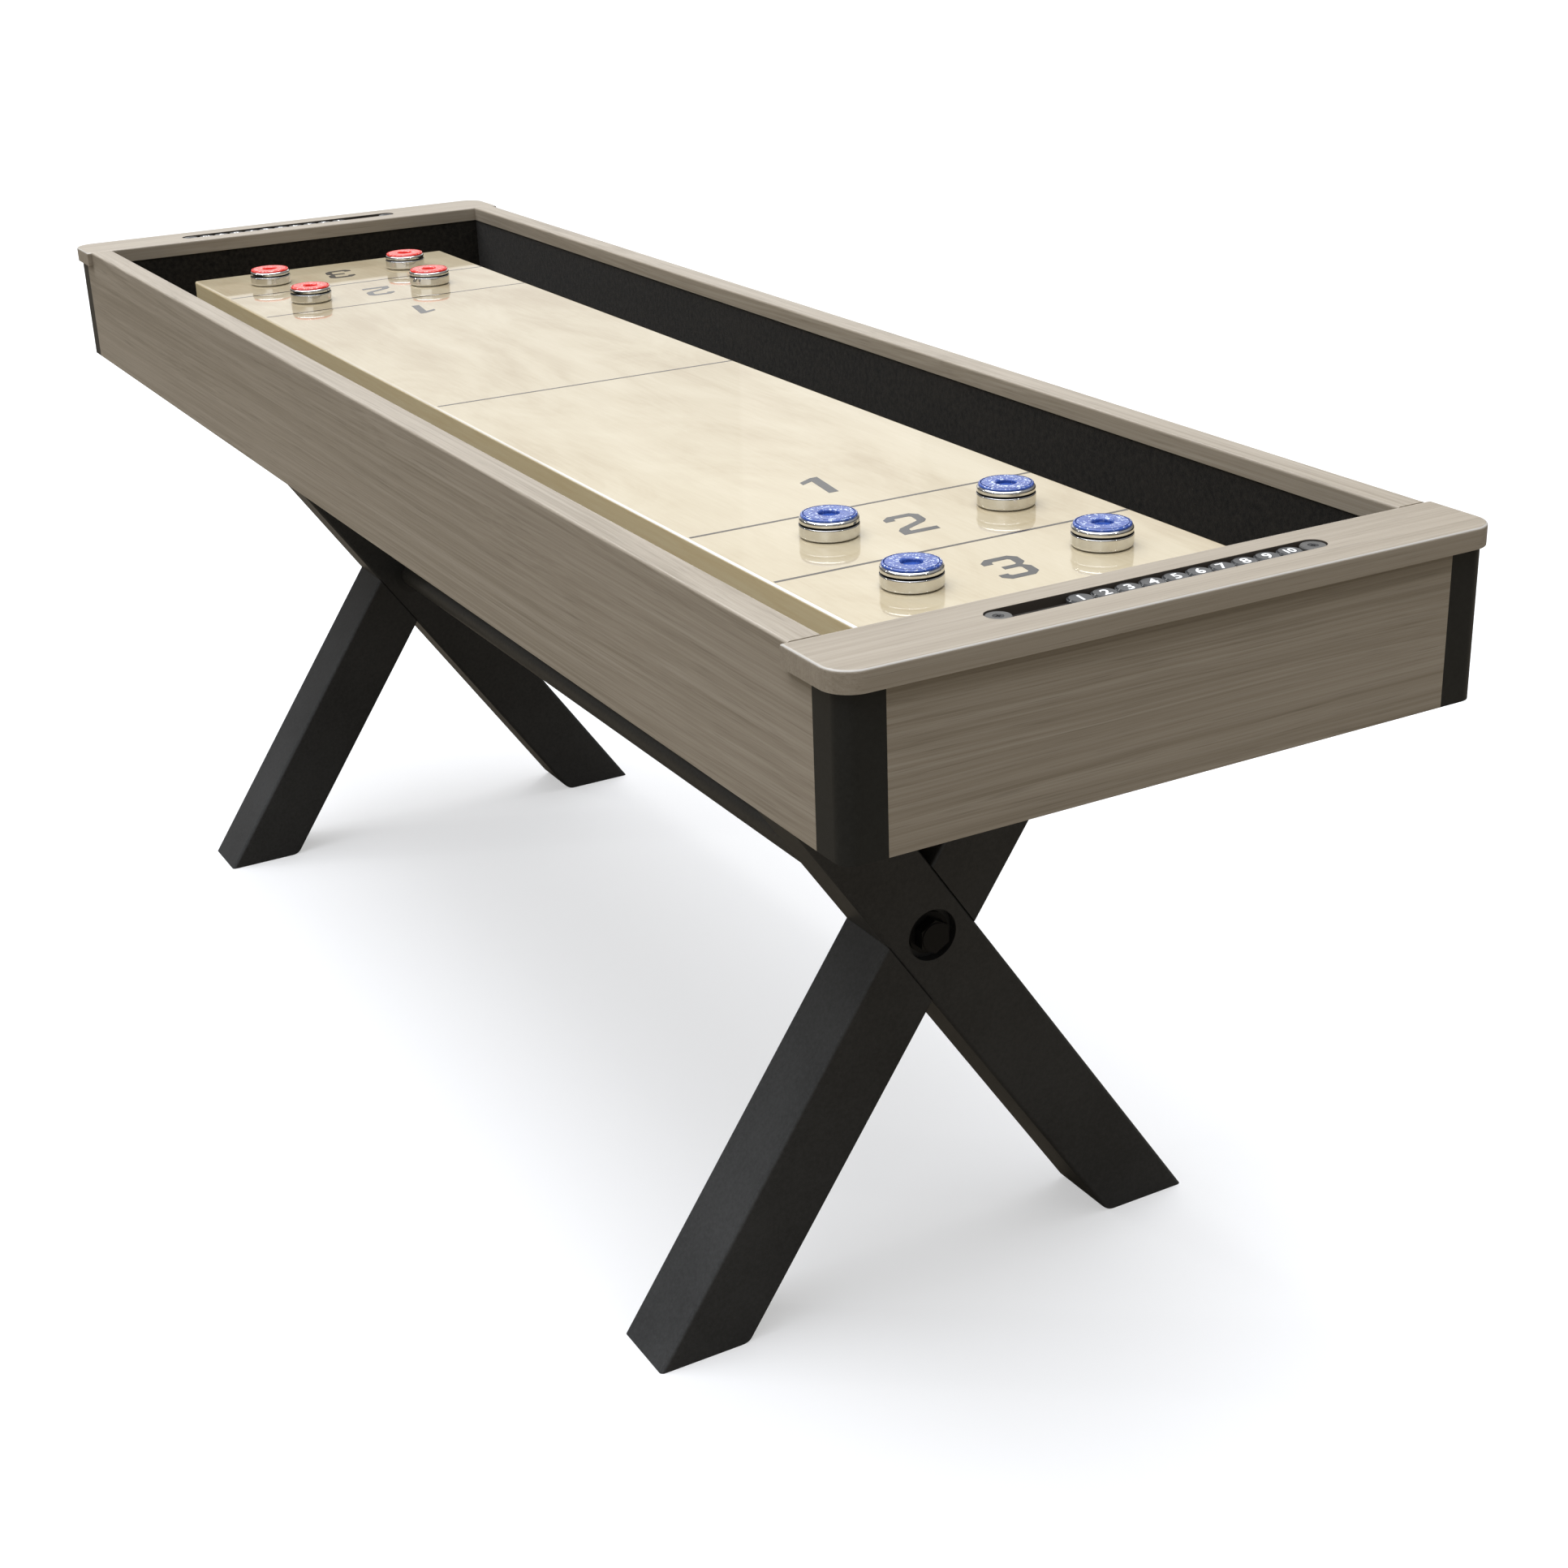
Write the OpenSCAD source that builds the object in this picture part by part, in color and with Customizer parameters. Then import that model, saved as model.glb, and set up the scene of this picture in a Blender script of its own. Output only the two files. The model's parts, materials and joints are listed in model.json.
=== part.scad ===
// Shuffleboard table: a shallow cabinet with a raised playfield, carpeted gutters,
// a sliding scorer in each end cap, eight pucks, and two crossed-beam leg frames
// tied together by a round steel tube.
// +X runs along the table towards the near end, +Z is up, the floor is z = 0.

/* [Table] */
// Length over both end caps
table_l = 2134; // [2000:1:2600]
// Width over the end caps
table_w = 616; // [590:1:680]
// Height of the top rails above the floor
table_h = 808; // [790:1:850]
// Height of the cabinet sides, from the lower edge to the top of the rails
cabinet_h = 150.5; // [145:0.5:170]

/* [Cabinet] */
// Thickness of the end caps and of the side rails
rail_t = 18; // [16:0.5:22]
// Width of the top face of a side rail
rail_w = 29; // [27:0.5:36]
// Width of an end cap along the table
cap_w = 80; // [76:0.5:95]
// Radius of the two outer corners of an end cap
cap_corner_r = 25; // [15:0.5:35]
// Overhang of an end cap past the end panel
cap_over_end = 7; // [3:0.5:12]
// Overhang of an end cap past the side panels
cap_over_side = 6; // [3:0.5:10]
// Thickness of the outer boards of the cabinet
board_t = 15; // [12:0.5:18]
// Length of a corner post along the table
post_l = 39; // [34:0.5:46]
// Width of a corner post across the table
post_w = 37.5; // [34:0.5:46]
// Radius of the outer corner of a corner post
post_r = 14; // [6:0.5:20]
// Thickness of the carpeted lining boards
liner_t = 13; // [10:0.5:14]
// Thickness of the carpeted bottom board
bottom_t = 10; // [8:0.5:12]
// Depth of the gutter floor below the playfield surface
gutter_drop = 65.5; // [60:0.5:70]

/* [Playfield] */
// Length of the playfield board
play_l = 1816; // [1700:1:2150]
// Width of the playfield board
play_w = 367; // [340:1:380]
// Thickness of the playfield board
play_t = 38; // [32:0.5:45]
// Depth of the playfield surface below the top of the rails
play_drop = 42.5; // [38:0.5:50]
// Radius on the upper edge of the playfield
play_edge_r = 3; // [1:0.5:4]

/* [Legs] */
// Width of a leg beam across its face
beam_w = 80; // [70:0.5:90]
// Thickness of a leg beam along the table
beam_t = 78; // [70:0.5:90]
// Radius on the long edges of a leg beam
beam_r = 4; // [2:0.5:8]
// Lean of a leg beam above the floor
beam_angle = 55.6; // [54:0.1:58]
// Height of the crossing of the two beams
cross_z = 377; // [365:1:390]
// Distance from the middle of the table to the middle of a leg frame
frame_x = 671; // [600:1:720]
// Radius on the inner heel of each foot
heel_r = 20; // [8:1:26]
// Sideways place of the leg frames under the cabinet
legs_y = -5.5; // [-5.5:0.5:5.5]
// Outer diameter of the stretcher tube
tube_d = 32; // [28:0.5:40]
// Diameter of the counterbore round each crossing bolt
bolt_bore_d = 52; // [46:0.5:56]

/* [Scorers] */
// Length of a scorer slot
slot_l = 319.5; // [310:0.5:330]
// How far each slot sits off the middle of its cap
slot_y = 3; // [-5:0.5:5]
// Width of a scorer slot
slot_w = 22.4; // [22:0.2:26]
// Diameter of a numbered slider
slider_d = 21.6; // [20:0.1:21.6]
// Spacing of the sliders where they stand together
slider_pitch = 22.2; // [21.8:0.1:22.4]

/* [Pucks] */
// Diameter of a puck
puck_d = 54; // [51:0.5:57]
// Height of a puck
puck_h = 20.5; // [18:0.5:23]

/* [Hidden] */
$fn = 64;
eps = 0.01;

// cabinet, measured from the middle of the table
cap_out_x = table_l / 2;
cap_in_x = cap_out_x - cap_w;
end_x = cap_out_x - cap_over_end;
side_y = table_w / 2 - cap_over_side;
post_in_x = end_x - post_l;
post_in_y = side_y - post_w;
rail_in_y = side_y - rail_w;
cap_z = table_h - rail_t;
low_z = table_h - cabinet_h;
edge_r = 2.5;
lip = 1;
liner_y = rail_in_y + lip;
liner_x = cap_in_x + lip;

// playfield and what it stands on
play_z = table_h - play_drop;
floor_z = play_z - gutter_drop;
batten_n = 5;
batten_l = 40;
batten_inset = 30;
side_rail_w = 25;
cleat_l = 102;
cleat_y = liner_y + liner_t - side_rail_w;

// leg frames
beam_half = beam_t / 2;
beam_long = 1200;
beam_step = beam_w / 2 / sin(beam_angle);
heel_y = cross_z / tan(beam_angle) - beam_step;
heel_tangent = heel_r * tan(beam_angle / 2);
bolt_d = 16;
bolt_bore_depth = 10;
bolt_washer_d = 42;
bolt_washer_t = 3;
bolt_head_af = 30;
bolt_head_t = 13;
bolt_grip = 30;
tube_wall = 2.5;
fit = 0.2;
frame_bolt_d = 8;
frame_bolt_y = 180;
frame_bolt_dx = 18;
frame_bolt_l = 70;
frame_head_d = 15;
frame_head_t = 6;

// scorers
slot_x = cap_in_x + 36;
slot_depth = 14;
track_t = 6;
track_z = table_h - slot_depth;
track_top = track_z + track_t;
rib_neck_w = 4;
rib_head_w = 7;
rib_neck_t = 1.5;
rib_head_t = 1.5;
slider_z = track_top + 0.3;
slider_t = 6.2;
slider_rim = 1.6;
slider_step = 1.2;
slider_n = 10;
disc_d = 21.6;
disc_y = slot_l / 2 - 11.2;
disc_t = 6.8;
row_end_gap = 2;
row_end_y = disc_y - disc_d / 2 - row_end_gap - slider_d / 2;
screw_d = 4;
screw_head_d = 9;
screw_l = 14;
screw_sink = 2.5;

// pucks: where they stand, from the middle of the table, and their sections
near_pucks = [[660, -76], [820, -92], [670, 103], [820, 99]];
far_pucks = [[-823, -101], [-666, -96], [-817, 94], [-677, 76]];
puck_gap = 0.2;
puck_z = play_z + puck_gap;
band_z = puck_h * 0.575;
band_r = 3;
band_top_r = 1.2;
groove_h = 1.5;
groove_d = 3;
ring_top = puck_h * 0.89;
ring_rad = puck_d / 2 - 0.3;
ring_r = 2.6;
cap_r = puck_d / 2 - 1.7;
cap_edge_r = 1.8;
seat_z = puck_h * 0.6;
plug_r = cap_r - 3;
dish_r = 9;
dish_deep = 3.6;
dish_lip_r = 2.2;

PUCKS = ["blue_1", "blue_2", "blue_3", "blue_4", "red_1", "red_2", "red_3", "red_4"];
SLIDERS = ["01", "02", "03", "04", "05", "06", "07", "08", "09", "10"];

wood = "#8f8577";
wood_top = "#c9c1b4";
maple = "#e3d6b4";
carpet = "#2a2928";
black = "#1d1e20";
bare_wood = "#b99a6b";
chrome = "#c9ccd0";
grey = "#8b8b8b";

// ---------- helpers ----------

// a box given by its lowest and highest corners
module slab(a, b) {
    translate(a) cube(b - a);
}

// an outline in y and z, drawn out along x from x0 to x1
module along_x(x0, x1) {
    translate([x0, 0, 0]) rotate([90, 0, 90]) linear_extrude(x1 - x0) children();
}

// a rectangle with its two upper corners rounded
module top_rounded(w, h, r) {
    square([w, h - r]);
    translate([r, 0]) square([w - 2 * r, h]);
    for (x = [r, w - r]) translate([x, h - r]) circle(r);
}

// a rectangle about the origin with four rounded corners
module rounded(w, h, r) {
    square([w - 2 * r, h], center = true);
    square([w, h - 2 * r], center = true);
    for (x = [-1, 1], y = [-1, 1]) translate([x * (w / 2 - r), y * (h / 2 - r)]) circle(r);
}

// a slot with round ends, about the origin and long in y
module slot(w, l) {
    square([w, l - w], center = true);
    for (s = [-1, 1]) translate([0, s * (l - w) / 2]) circle(d = w);
}

// the far end is the near end turned half round
module end_at(near) {
    rotate([0, 0, near ? 0 : 180]) children();
}

// ---------- cabinet ----------

// outer board with the wide top rail in one folded section
module side_panel(side) {
    color(wood) mirror([0, side < 0 ? 1 : 0, 0]) {
        along_x(-cap_in_x, cap_in_x)
            translate([rail_in_y, cap_z]) top_rounded(rail_w, rail_t, edge_r);
        slab([-post_in_x, side_y - board_t, low_z], [post_in_x, side_y, cap_z]);
    }
}

module end_panel(near) {
    color(wood) end_at(near)
        slab([end_x - board_t, -post_in_y, low_z], [end_x, post_in_y, cap_z]);
}

// black corner post: square inside, rounded outside
module corner_post(near, left) {
    color(black) mirror([near ? 0 : 1, 0, 0]) mirror([0, left ? 1 : 0, 0])
        translate([post_in_x, post_in_y, low_z]) linear_extrude(cap_z - low_z) {
            square([post_l - post_r, post_w]);
            square([post_l, post_w - post_r]);
            translate([post_l - post_r, post_w - post_r]) circle(post_r);
        }
}

// body of an end cap: every upper edge is rolled, and the two outer corners are generous
module cap_body() {
    half = table_w / 2;
    straight = half - cap_corner_r;
    turn_x = cap_out_x - cap_corner_r;
    intersection() {
        translate([0, half, cap_z]) rotate([90, 0, 0]) linear_extrude(2 * half)
            translate([cap_in_x, 0]) top_rounded(cap_w, rail_t, edge_r);
        translate([0, 0, cap_z]) along_x(cap_in_x, cap_out_x)
            translate([-half, 0]) top_rounded(2 * half, rail_t, edge_r);
        translate([0, 0, cap_z]) linear_extrude(rail_t) {
            translate([cap_in_x, -half]) square([turn_x - cap_in_x, 2 * half]);
            translate([cap_in_x, -straight]) square([cap_w, 2 * straight]);
        }
    }
    for (s = [0, 1]) mirror([0, s, 0]) translate([turn_x, straight, cap_z])
        rotate_extrude(angle = 90) {
            square([cap_corner_r, rail_t - edge_r]);
            square([cap_corner_r - edge_r, rail_t]);
            translate([cap_corner_r - edge_r, rail_t - edge_r]) circle(edge_r);
        }
}

module end_cap(near) {
    color(wood_top) end_at(near) difference() {
        cap_body();
        translate([slot_x, slot_y, track_z]) linear_extrude(slot_depth + 1) slot(slot_w, slot_l);
        for (s = [-1, 1]) translate([slot_x, slot_y + s * disc_y, cap_z + 1])
            cylinder(d = screw_d + fit, h = rail_t);
    }
}

// carpeted lining of the two long walls
module side_liners() {
    color(carpet) for (s = [-1, 1]) mirror([0, s < 0 ? 1 : 0, 0])
        slab([-liner_x - liner_t, liner_y, floor_z], [liner_x + liner_t, liner_y + liner_t, cap_z]);
}

// carpeted lining of the two end walls
module end_liners() {
    color(carpet) for (s = [0, 180]) rotate([0, 0, s])
        slab([liner_x, -liner_y, floor_z], [liner_x + liner_t, liner_y, cap_z]);
}

// carpeted gutter floor: it fills the cabinet from wall to wall, notched for the corner posts
module bottom_board() {
    wall_x = end_x - board_t;
    wall_y = side_y - board_t;
    color(carpet) {
        slab([-post_in_x, -wall_y, floor_z - bottom_t], [post_in_x, wall_y, floor_z]);
        slab([-wall_x, -post_in_y, floor_z - bottom_t], [wall_x, post_in_y, floor_z]);
    }
}

// battens under the playfield, rails along the cabinet and bars behind its ends
module support_battens() {
    batten_y = play_w / 2 - batten_inset;
    first_x = -play_l / 2 + 2 * batten_inset;
    batten_pitch = -2 * first_x / (batten_n - 1);
    rail_top = floor_z - bottom_t;
    rail_y = side_y - board_t;
    rail_end_x = end_x - board_t - side_rail_w;
    color(bare_wood) {
        for (i = [0 : batten_n - 1]) translate([first_x + i * batten_pitch, 0, floor_z])
            slab([-batten_l / 2, -batten_y, 0], [batten_l / 2, batten_y, play_z - play_t - floor_z]);
        for (s = [-1, 1]) mirror([0, s < 0 ? 1 : 0, 0])
            slab([-rail_end_x + 1, cleat_y, low_z], [rail_end_x - 1, rail_y, rail_top]);
        for (s = [0, 180]) rotate([0, 0, s])
            slab([rail_end_x, -post_in_y, low_z], [end_x - board_t, post_in_y, rail_top]);
    }
}

// ---------- playfield ----------

module playfield_board() {
    color(maple) along_x(-play_l / 2, play_l / 2)
        translate([-play_w / 2, play_z - play_t]) top_rounded(play_w, play_t, play_edge_r);
}

// ---------- legs ----------

// boards across the cabinet that the beams are bolted up to
module leg_cleats() {
    top = floor_z - bottom_t;
    color(bare_wood) for (f = [-1, 1]) difference() {
        slab([f * frame_x - cleat_l / 2, -cleat_y, low_z], [f * frame_x + cleat_l / 2, cleat_y, top]);
        for (x = [-1, 1], y = [-1, 1])
            translate([f * frame_x + x * frame_bolt_dx, y * frame_bolt_y + legs_y, low_z - 1]) {
                cylinder(d = frame_bolt_d + fit, h = top - low_z + 2);
                translate([0, 0, top - frame_head_t - low_z + 1])
                    cylinder(d = frame_head_d + 1, h = frame_head_t + 1);
            }
    }
}

// one beam about the crossing, its width in y and z, leaning up towards -y (lean 1) or +y (-1)
module beam_bar(lean, w, t, r) {
    rotate([lean * (90 - beam_angle), 0, 0])
        translate([0, 0, -beam_long / 2]) linear_extrude(beam_long) rounded(t, w, r);
}

// room for the other beam of the pair: half of its thickness on one face
module lap_cut(lean, face) {
    intersection() {
        rotate([-lean * (90 - beam_angle), 0, 0])
            cube([beam_t * 2, beam_w, beam_long], center = true);
        translate([face * beam_t, 0, 0]) cube([beam_t * 2, beam_long, beam_long], center = true);
    }
}

// the inner heel of a foot is rounded: what stands proud of that radius is cut away
module heel_cut(lean) {
    floor_y = heel_y + heel_tangent;
    edge_y = floor_y - heel_r * sin(beam_angle);
    edge_z = heel_r * (1 - cos(beam_angle));
    mirror([0, lean < 0 ? 1 : 0, 0]) along_x(-beam_t, beam_t) difference() {
        polygon([
            [floor_y, heel_r], [floor_y, -1], [heel_y - 1, -1],
            [edge_y - sin(beam_angle), edge_z - cos(beam_angle)], [edge_y, edge_z]
        ]);
        translate([floor_y, heel_r]) circle(heel_r);
    }
}

// lean 1 is beam a, which keeps its outer half (+x) at the crossing
module leg_beam(frame, lean) {
    bore_face = frame > 0 ? 1 : -1;
    holds_bore = lean * bore_face > 0;
    color(black) translate([frame * frame_x, legs_y, 0]) difference() {
        intersection() {
            translate([0, 0, cross_z]) beam_bar(lean, beam_w, beam_t, beam_r);
            slab([-beam_t, -table_w, 0], [beam_t, table_w, low_z]);
        }
        translate([0, 0, cross_z]) lap_cut(lean, -lean);
        heel_cut(lean);
        translate([-beam_t, 0, cross_z]) rotate([0, 90, 0])
            cylinder(d = bolt_d + fit, h = 2 * beam_t);
        if (holds_bore)
            translate([bore_face * (beam_half - bolt_bore_depth), 0, cross_z])
                rotate([0, bore_face * 90, 0]) cylinder(d = bolt_bore_d, h = beam_t);
        for (x = [-1, 1])
            translate([x * frame_bolt_dx, -lean * frame_bolt_y, low_z - frame_bolt_l])
                cylinder(d = frame_bolt_d + fit, h = frame_bolt_l + 1);
    }
}

// round tube between the two crossings, with a threaded plug in each end
module stretcher_tube() {
    half = frame_x - beam_half;
    color(black) translate([0, legs_y, cross_z]) rotate([0, 90, 0]) difference() {
        translate([0, 0, -half]) cylinder(d = tube_d, h = 2 * half);
        translate([0, 0, -half + bolt_grip])
            cylinder(d = tube_d - 2 * tube_wall, h = 2 * (half - bolt_grip));
        translate([0, 0, -half - 1]) cylinder(d = bolt_d + fit, h = 2 * half + 2);
    }
}

// crossing bolts with their washers, and the bolts from the cleats into the beams
module leg_bolts() {
    head_x = frame_x + beam_half - bolt_bore_depth;
    top = floor_z - bottom_t;
    color(black) translate([0, legs_y, 0]) {
        for (s = [0, 180]) rotate([0, 0, s]) translate([head_x, 0, cross_z]) rotate([0, 90, 0]) {
            cylinder(d = bolt_washer_d, h = bolt_washer_t);
            translate([0, 0, bolt_washer_t]) {
                cylinder(d = bolt_head_af / cos(30), h = bolt_head_t - 1, $fn = 6);
                cylinder(d = bolt_head_af - 1.5, h = bolt_head_t);
            }
            translate([0, 0, -beam_t + bolt_bore_depth - bolt_grip + 2])
                cylinder(d = bolt_d, h = beam_t - bolt_bore_depth + bolt_grip);
        }
        for (f = [-1, 1], x = [-1, 1], y = [-1, 1])
            translate([f * frame_x + x * frame_bolt_dx, y * frame_bolt_y, top - frame_head_t]) {
                cylinder(d = frame_head_d, h = frame_head_t - 1);
                translate([0, 0, -frame_bolt_l + 5]) cylinder(d = frame_bolt_d, h = frame_bolt_l - 4);
            }
    }
}

// ---------- scorers ----------

// outline of the T-shaped rib, or of the groove that runs over it
module rib_outline(gap) {
    translate([-rib_neck_w / 2 - gap, 0]) square([rib_neck_w + 2 * gap, rib_neck_t + rib_head_t]);
    translate([-rib_head_w / 2 - gap, rib_neck_t - gap])
        square([rib_head_w + 2 * gap, rib_head_t + 2 * gap]);
}

// a black channel floor in each slot, with the rib that the sliders run on
module scorer_tracks() {
    rib_y = disc_y - disc_d / 2 - 1;
    color(black) for (near = [true, false]) end_at(near) translate([slot_x, slot_y, 0]) difference() {
        union() {
            translate([0, 0, track_z]) linear_extrude(track_t) slot(slot_w - 2 * fit, slot_l - 2 * fit);
            translate([0, rib_y, track_top]) rotate([90, 0, 0]) linear_extrude(2 * rib_y) rib_outline(0);
        }
        for (s = [-1, 1]) translate([0, s * disc_y, track_z - 1]) cylinder(d = screw_d + fit, h = slot_depth);
    }
}

// round stops at both ends of each track, with their countersunk screws
module scorer_retainers() {
    top = track_top + disc_t;
    for (near = [true, false], s = [-1, 1]) end_at(near) translate([slot_x, slot_y + s * disc_y, 0]) {
        color(grey) difference() {
            union() {
                translate([0, 0, track_top]) cylinder(d = disc_d, h = disc_t - 1);
                translate([0, 0, top - 1]) cylinder(d1 = disc_d, d2 = disc_d - 1.6, h = 1);
            }
            translate([0, 0, track_top - 1]) cylinder(d = screw_d + fit, h = disc_t + 2);
            translate([0, 0, top - screw_sink]) cylinder(d1 = screw_d + fit, d2 = screw_head_d, h = screw_sink);
        }
        color(chrome) difference() {
            union() {
                translate([0, 0, top - screw_l]) cylinder(d = screw_d, h = screw_l - screw_sink);
                translate([0, 0, top - screw_sink]) cylinder(d1 = screw_d, d2 = screw_head_d - 1, h = screw_sink - fit);
            }
            for (a = [0, 90]) rotate([0, 0, a]) translate([-2.4, -0.5, top - 1.6]) cube([4.8, 1, 2]);
        }
    }
}

// one numbered slider; index 0 is the slider furthest from the stop that the row stands against
module slider(near, index) {
    y = slot_y + row_end_y - (slider_n - 1 - index) * slider_pitch;
    color(grey) end_at(near) translate([slot_x, y, slider_z]) difference() {
        union() {
            cylinder(d = slider_d, h = slider_t - slider_step);
            translate([0, 0, slider_t - slider_step])
                cylinder(d1 = slider_d - slider_rim, d2 = slider_d - 2 * slider_rim, h = slider_step);
        }
        translate([0, slider_d, track_top - slider_z])
            rotate([90, 0, 0]) linear_extrude(2 * slider_d) rib_outline(0.3);
    }
}

// ---------- pucks ----------

// steel weight: rounded band, groove, ring with a rounded shoulder, seat for the cap
module puck_weight(p) {
    r = puck_d / 2;
    ring_z = band_z + groove_h;
    color(chrome) translate([p[0], p[1], puck_z]) rotate_extrude() difference() {
        union() {
            square([r - band_r, band_z]);
            translate([0, band_r]) square([r - band_top_r, band_z - band_r]);
            translate([0, band_r]) square([r, band_z - band_r - band_top_r]);
            translate([r - band_r, band_r]) circle(band_r);
            translate([r - band_top_r, band_z - band_top_r]) circle(band_top_r);
            square([r - groove_d, ring_top - ring_r]);
            square([ring_rad - ring_r, ring_top]);
            translate([0, ring_z]) square([ring_rad, ring_top - ring_r - ring_z]);
            translate([ring_rad - ring_r, ring_top - ring_r]) circle(ring_r);
        }
        translate([-1, seat_z]) square([plug_r + 1.1, puck_h]);
    }
}

// coloured cap: a plug in the seat under a rounded rim, dished in the middle
module puck_cap(p, tint) {
    color(tint) translate([p[0], p[1], puck_z]) rotate_extrude() difference() {
        union() {
            translate([0, seat_z]) square([plug_r, puck_h - seat_z]);
            translate([0, ring_top]) square([cap_r, puck_h - cap_edge_r - ring_top]);
            intersection() {
                translate([cap_r - cap_edge_r, puck_h - cap_edge_r]) square(cap_edge_r);
                translate([cap_r - cap_edge_r, puck_h - cap_edge_r]) circle(cap_edge_r);
            }
        }
        translate([-1, puck_h - dish_deep]) square([dish_r + 1, dish_deep + 1]);
        difference() {
            translate([dish_r - eps, puck_h - dish_lip_r]) square([dish_lip_r + eps, dish_lip_r + 1]);
            translate([dish_r + dish_lip_r, puck_h - dish_lip_r]) circle(dish_lip_r);
        }
    }
}

// ---------- what each node draws ----------

playfield_board();
support_battens();
bottom_board();
side_panel(-1);  // side_panel_left
side_panel(1);  // side_panel_right
end_panel(true);  // end_panel_near
end_panel(false);  // end_panel_far
corner_post(true, true);  // corner_post_near_left
corner_post(true, false);  // corner_post_near_right
corner_post(false, true);  // corner_post_far_left
corner_post(false, false);  // corner_post_far_right
end_cap(true);  // end_cap_near
end_cap(false);  // end_cap_far
side_liners();
end_liners();
leg_cleats();
leg_beam(1, 1);  // leg_near_a
leg_beam(1, -1);  // leg_near_b
leg_beam(-1, 1);  // leg_far_a
leg_beam(-1, -1);  // leg_far_b
stretcher_tube();
leg_bolts();
scorer_tracks();
scorer_retainers();
for (i = [0 : slider_n - 1]) {
    slider(true, i);
    slider(false, i);
}
for (i = [0 : 3]) {
    puck_weight(near_pucks[i]);
    puck_weight(far_pucks[i]);
    puck_cap(near_pucks[i], "#2f4fb0");
    puck_cap(far_pucks[i], "#c8372f");
}
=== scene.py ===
import json
import math

import bmesh
import bpy
from mathutils import Matrix, Vector


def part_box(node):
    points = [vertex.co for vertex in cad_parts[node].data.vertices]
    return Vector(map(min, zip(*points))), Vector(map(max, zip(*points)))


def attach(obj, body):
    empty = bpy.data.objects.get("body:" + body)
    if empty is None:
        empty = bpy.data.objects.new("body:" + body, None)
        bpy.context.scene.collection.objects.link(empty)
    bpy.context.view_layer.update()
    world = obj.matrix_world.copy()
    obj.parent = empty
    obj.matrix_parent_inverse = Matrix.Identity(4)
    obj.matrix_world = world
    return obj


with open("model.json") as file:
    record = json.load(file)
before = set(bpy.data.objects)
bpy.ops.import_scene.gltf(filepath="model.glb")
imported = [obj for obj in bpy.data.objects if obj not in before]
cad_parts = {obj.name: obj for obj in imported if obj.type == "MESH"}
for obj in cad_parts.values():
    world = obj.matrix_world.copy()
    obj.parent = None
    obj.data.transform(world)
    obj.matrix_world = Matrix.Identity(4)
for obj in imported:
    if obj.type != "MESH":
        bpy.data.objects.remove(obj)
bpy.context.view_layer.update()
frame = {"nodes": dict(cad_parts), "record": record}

MM = 0.001
NODES = frame["nodes"]
SLIDERS = ["%02d" % n for n in range(1, 11)]

# the scorer slots; the far end is the near end turned round by half a turn
SLOT_LOW, SLOT_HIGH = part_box("slider_near_01")
SLOT_X = (SLOT_LOW.x + SLOT_HIGH.x) / 2
SLOT_HALF_W = 11.25 * MM
TRACK_HALF_L = 159.55 * MM
SLOT_HALF_L = TRACK_HALF_L + 0.25 * MM
SLOT_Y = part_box("scorer_tracks")[1].y - TRACK_HALF_L

# outer corner of the end caps, top of the playfield, foot and top of the pucks
CAP_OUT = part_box("end_cap_near")[1]
CAP_TOP = CAP_OUT.z
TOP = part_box("playfield_board")[1]
PUCK_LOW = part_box("puck_weight_blue_1")[0].z
PUCK_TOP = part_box("puck_cap_blue_1")[1].z


# ---------------------------------------------------------------- node helpers

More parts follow.
